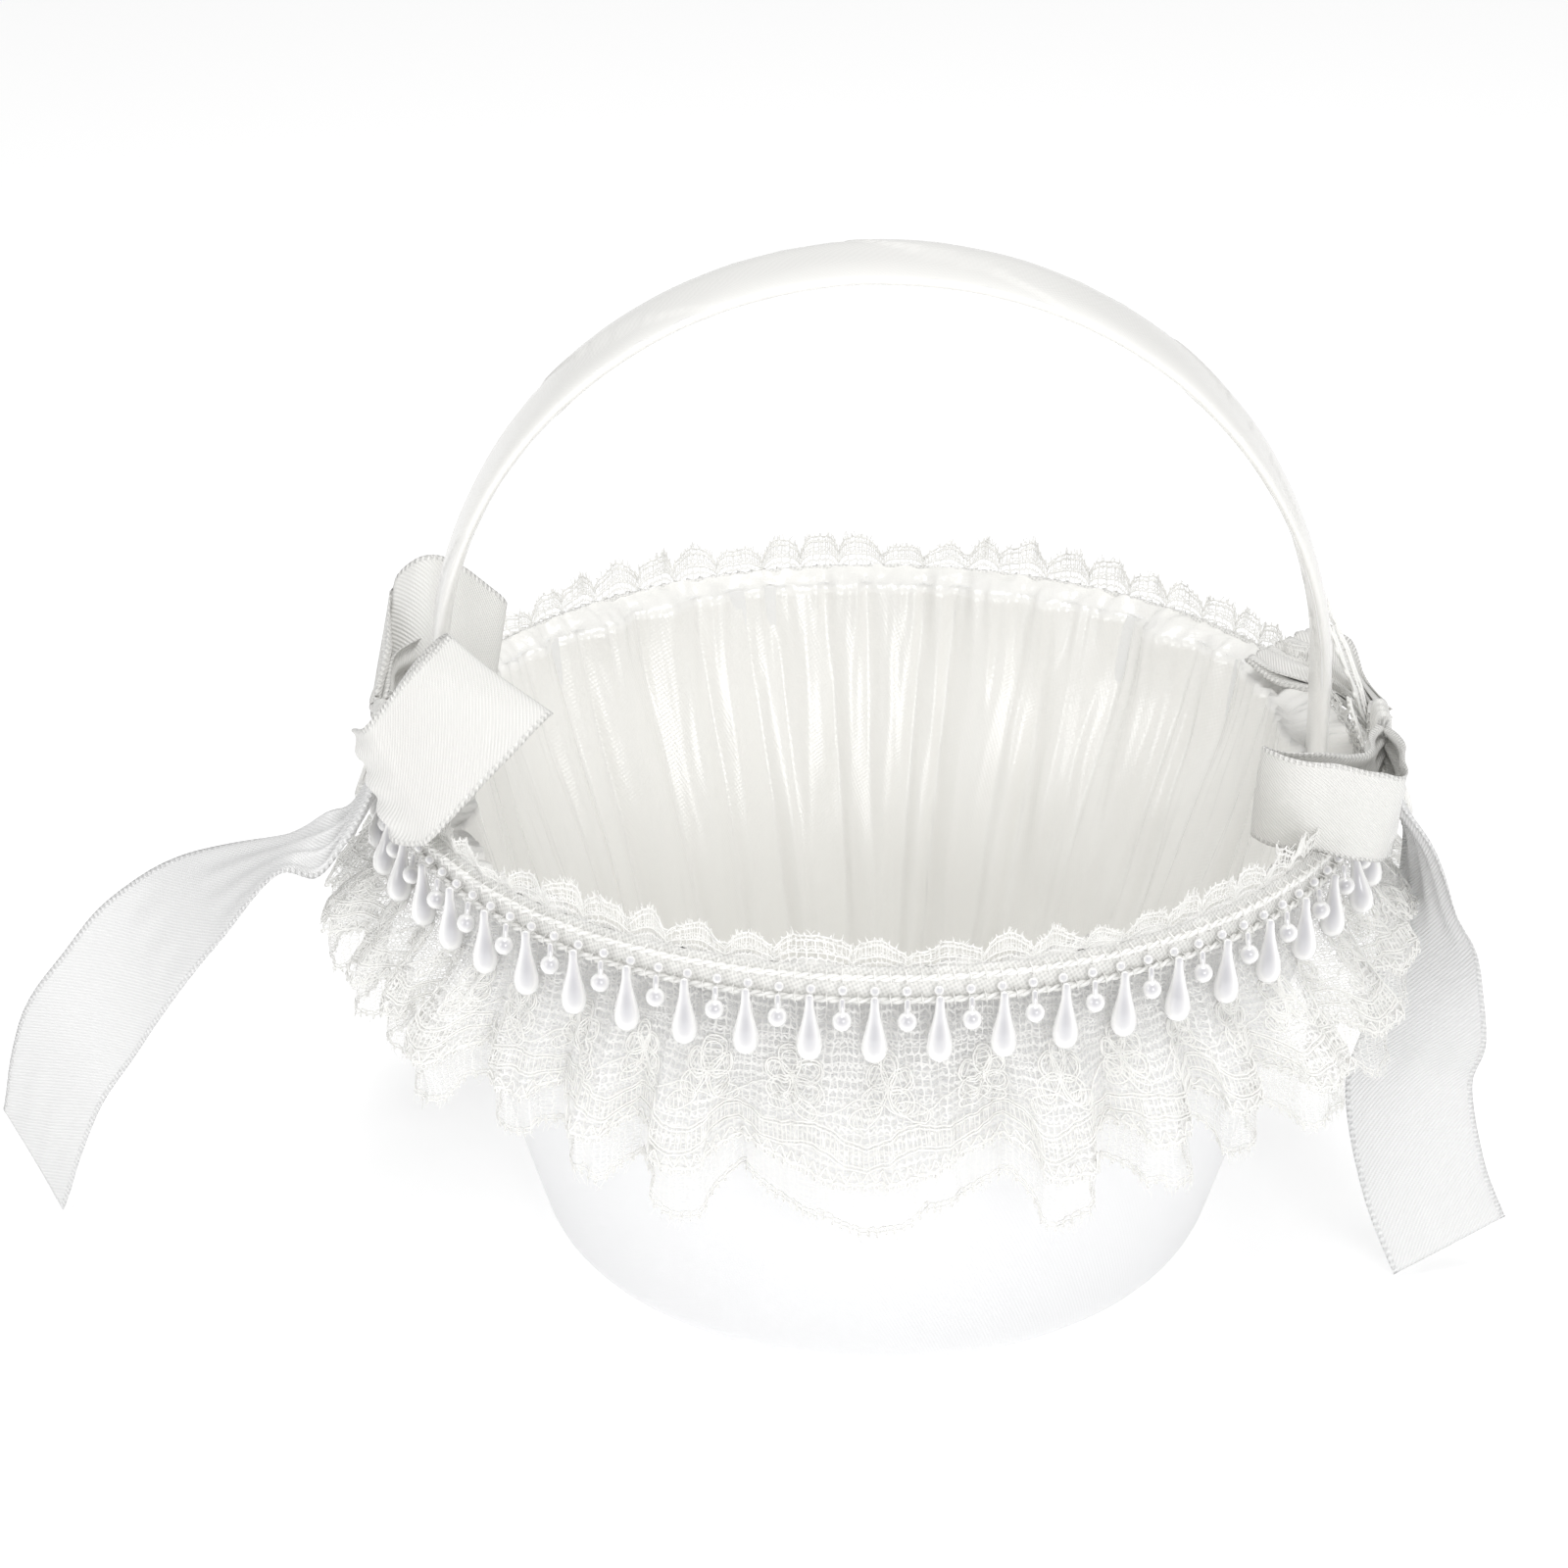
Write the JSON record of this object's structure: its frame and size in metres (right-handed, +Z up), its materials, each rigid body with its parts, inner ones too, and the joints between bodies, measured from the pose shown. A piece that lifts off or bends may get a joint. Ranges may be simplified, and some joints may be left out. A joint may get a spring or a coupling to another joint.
{
  "type": "flower girl basket",
  "caption": "Small satin-covered round basket with a fixed hoop handle, gathered lining, layered lace frill, fringe of hanging pearls and ribbon bows.",
  "frame": {"origin": "centre of the flat underside, on the surface the basket stands on", "axes": "+Z up, the handle's hoop in the XZ plane, the front of the basket towards -Y"},
  "size_m": [0.2668, 0.1772, 0.18],
  "materials": {
    "moulded_board": "matte",
    "covered_card": "matte",
    "white_satin": "satin",
    "ivory_satin": "satin",
    "lace": "matte",
    "woven_tape": "matte",
    "pearl": "gloss"
  },
  "bodies": {
    "basket": {"basket_shell": "moulded_board", "outer_satin_cover": "white_satin", "base_disc": "covered_card", "satin_lining": "ivory_satin", "floor_disc": "ivory_satin", "handle_core": "moulded_board", "handle_satin_wrap": "ivory_satin", "lace_frill": "lace", "net_frill": "lace", "pearl_tape": "woven_tape", "upper_cord": "woven_tape", "lower_cord_with_pearls": "pearl", "left_bow_knot": "ivory_satin", "left_bow_front_loop": "ivory_satin", "left_bow_back_loop": "ivory_satin", "left_bow_tail": "white_satin", "left_bow_applique": "lace", "right_bow_knot": "ivory_satin", "right_bow_front_loop": "ivory_satin", "right_bow_back_loop": "ivory_satin", "right_bow_tail": "white_satin", "right_bow_applique": "lace"},
    "long_pearl_01": {"long_pearl_01": "pearl"},
    "long_pearl_02": {"long_pearl_02": "pearl"},
    "long_pearl_03": {"long_pearl_03": "pearl"},
    "long_pearl_04": {"long_pearl_04": "pearl"},
    "long_pearl_05": {"long_pearl_05": "pearl"},
    "long_pearl_06": {"long_pearl_06": "pearl"},
    "long_pearl_07": {"long_pearl_07": "pearl"},
    "long_pearl_08": {"long_pearl_08": "pearl"},
    "long_pearl_09": {"long_pearl_09": "pearl"},
    "long_pearl_10": {"long_pearl_10": "pearl"},
    "long_pearl_11": {"long_pearl_11": "pearl"},
    "long_pearl_12": {"long_pearl_12": "pearl"},
    "long_pearl_13": {"long_pearl_13": "pearl"},
    "long_pearl_14": {"long_pearl_14": "pearl"},
    "long_pearl_15": {"long_pearl_15": "pearl"},
    "long_pearl_16": {"long_pearl_16": "pearl"},
    "long_pearl_17": {"long_pearl_17": "pearl"},
    "long_pearl_18": {"long_pearl_18": "pearl"},
    "long_pearl_19": {"long_pearl_19": "pearl"}
  },
  "joints": [
    {"name": "long_pearl_01_swing", "type": "hinge", "parent": "basket", "child": "long_pearl_01", "pos_m": [-0.07609, -0.03743, 0.08625], "axis": [-0.4414, 0.8973, 0], "range_deg": [0, 60]},
    {"name": "long_pearl_02_swing", "type": "hinge", "parent": "basket", "child": "long_pearl_02", "pos_m": [-0.07103, -0.04633, 0.08625], "axis": [-0.5463, 0.8376, 0], "range_deg": [0, 60]},
    {"name": "long_pearl_03_swing", "type": "hinge", "parent": "basket", "child": "long_pearl_03", "pos_m": [-0.06492, -0.05455, 0.08625], "axis": [-0.6433, 0.7656, 0], "range_deg": [0, 60]},
    {"name": "long_pearl_04_swing", "type": "hinge", "parent": "basket", "child": "long_pearl_04", "pos_m": [-0.05788, -0.06198, 0.08625], "axis": [-0.7309, 0.6825, 0], "range_deg": [0, 60]},
    {"name": "long_pearl_05_swing", "type": "hinge", "parent": "basket", "child": "long_pearl_05", "pos_m": [-0.04998, -0.0685, 0.08625], "axis": [-0.8078, 0.5894, 0], "range_deg": [0, 60]},
    {"name": "long_pearl_06_swing", "type": "hinge", "parent": "basket", "child": "long_pearl_06", "pos_m": [-0.04136, -0.07403, 0.08625], "axis": [-0.873, 0.4877, 0], "range_deg": [0, 60]},
    {"name": "long_pearl_07_swing", "type": "hinge", "parent": "basket", "child": "long_pearl_07", "pos_m": [-0.03214, -0.07848, 0.08625], "axis": [-0.9254, 0.379, 0], "range_deg": [0, 60]},
    {"name": "long_pearl_08_swing", "type": "hinge", "parent": "basket", "child": "long_pearl_08", "pos_m": [-0.02244, -0.08178, 0.08625], "axis": [-0.9643, 0.2646, 0], "range_deg": [0, 60]},
    {"name": "long_pearl_09_swing", "type": "hinge", "parent": "basket", "child": "long_pearl_09", "pos_m": [-0.01242, -0.08389, 0.08625], "axis": [-0.9892, 0.1465, 0], "range_deg": [0, 60]},
    {"name": "long_pearl_10_swing", "type": "hinge", "parent": "basket", "child": "long_pearl_10", "pos_m": [-0.00222, -0.08477, 0.08625], "axis": [-0.9997, 0.0262, 0], "range_deg": [0, 60]},
    {"name": "long_pearl_11_swing", "type": "hinge", "parent": "basket", "child": "long_pearl_11", "pos_m": [0.00801, -0.08442, 0.08625], "axis": [-0.9955, -0.0945, 0], "range_deg": [0, 60]},
    {"name": "long_pearl_12_swing", "type": "hinge", "parent": "basket", "child": "long_pearl_12", "pos_m": [0.01813, -0.08284, 0.08625], "axis": [-0.9769, -0.2138, 0], "range_deg": [0, 60]},
    {"name": "long_pearl_13_swing", "type": "hinge", "parent": "basket", "child": "long_pearl_13", "pos_m": [0.02798, -0.08005, 0.08625], "axis": [-0.944, -0.33, 0], "range_deg": [0, 60]},
    {"name": "long_pearl_14_swing", "type": "hinge", "parent": "basket", "child": "long_pearl_14", "pos_m": [0.03743, -0.07609, 0.08625], "axis": [-0.8973, -0.4414, 0], "range_deg": [0, 60]},
    {"name": "long_pearl_15_swing", "type": "hinge", "parent": "basket", "child": "long_pearl_15", "pos_m": [0.04633, -0.07103, 0.08625], "axis": [-0.8376, -0.5463, 0], "range_deg": [0, 60]},
    {"name": "long_pearl_16_swing", "type": "hinge", "parent": "basket", "child": "long_pearl_16", "pos_m": [0.05455, -0.06492, 0.08625], "axis": [-0.7656, -0.6433, 0], "range_deg": [0, 60]},
    {"name": "long_pearl_17_swing", "type": "hinge", "parent": "basket", "child": "long_pearl_17", "pos_m": [0.06198, -0.05788, 0.08625], "axis": [-0.6825, -0.7309, 0], "range_deg": [0, 60]},
    {"name": "long_pearl_18_swing", "type": "hinge", "parent": "basket", "child": "long_pearl_18", "pos_m": [0.0685, -0.04998, 0.08625], "axis": [-0.5894, -0.8078, 0], "range_deg": [0, 60]},
    {"name": "long_pearl_19_swing", "type": "hinge", "parent": "basket", "child": "long_pearl_19", "pos_m": [0.07403, -0.04136, 0.08625], "axis": [-0.4877, -0.873, 0], "range_deg": [0, 60]}
  ]
}
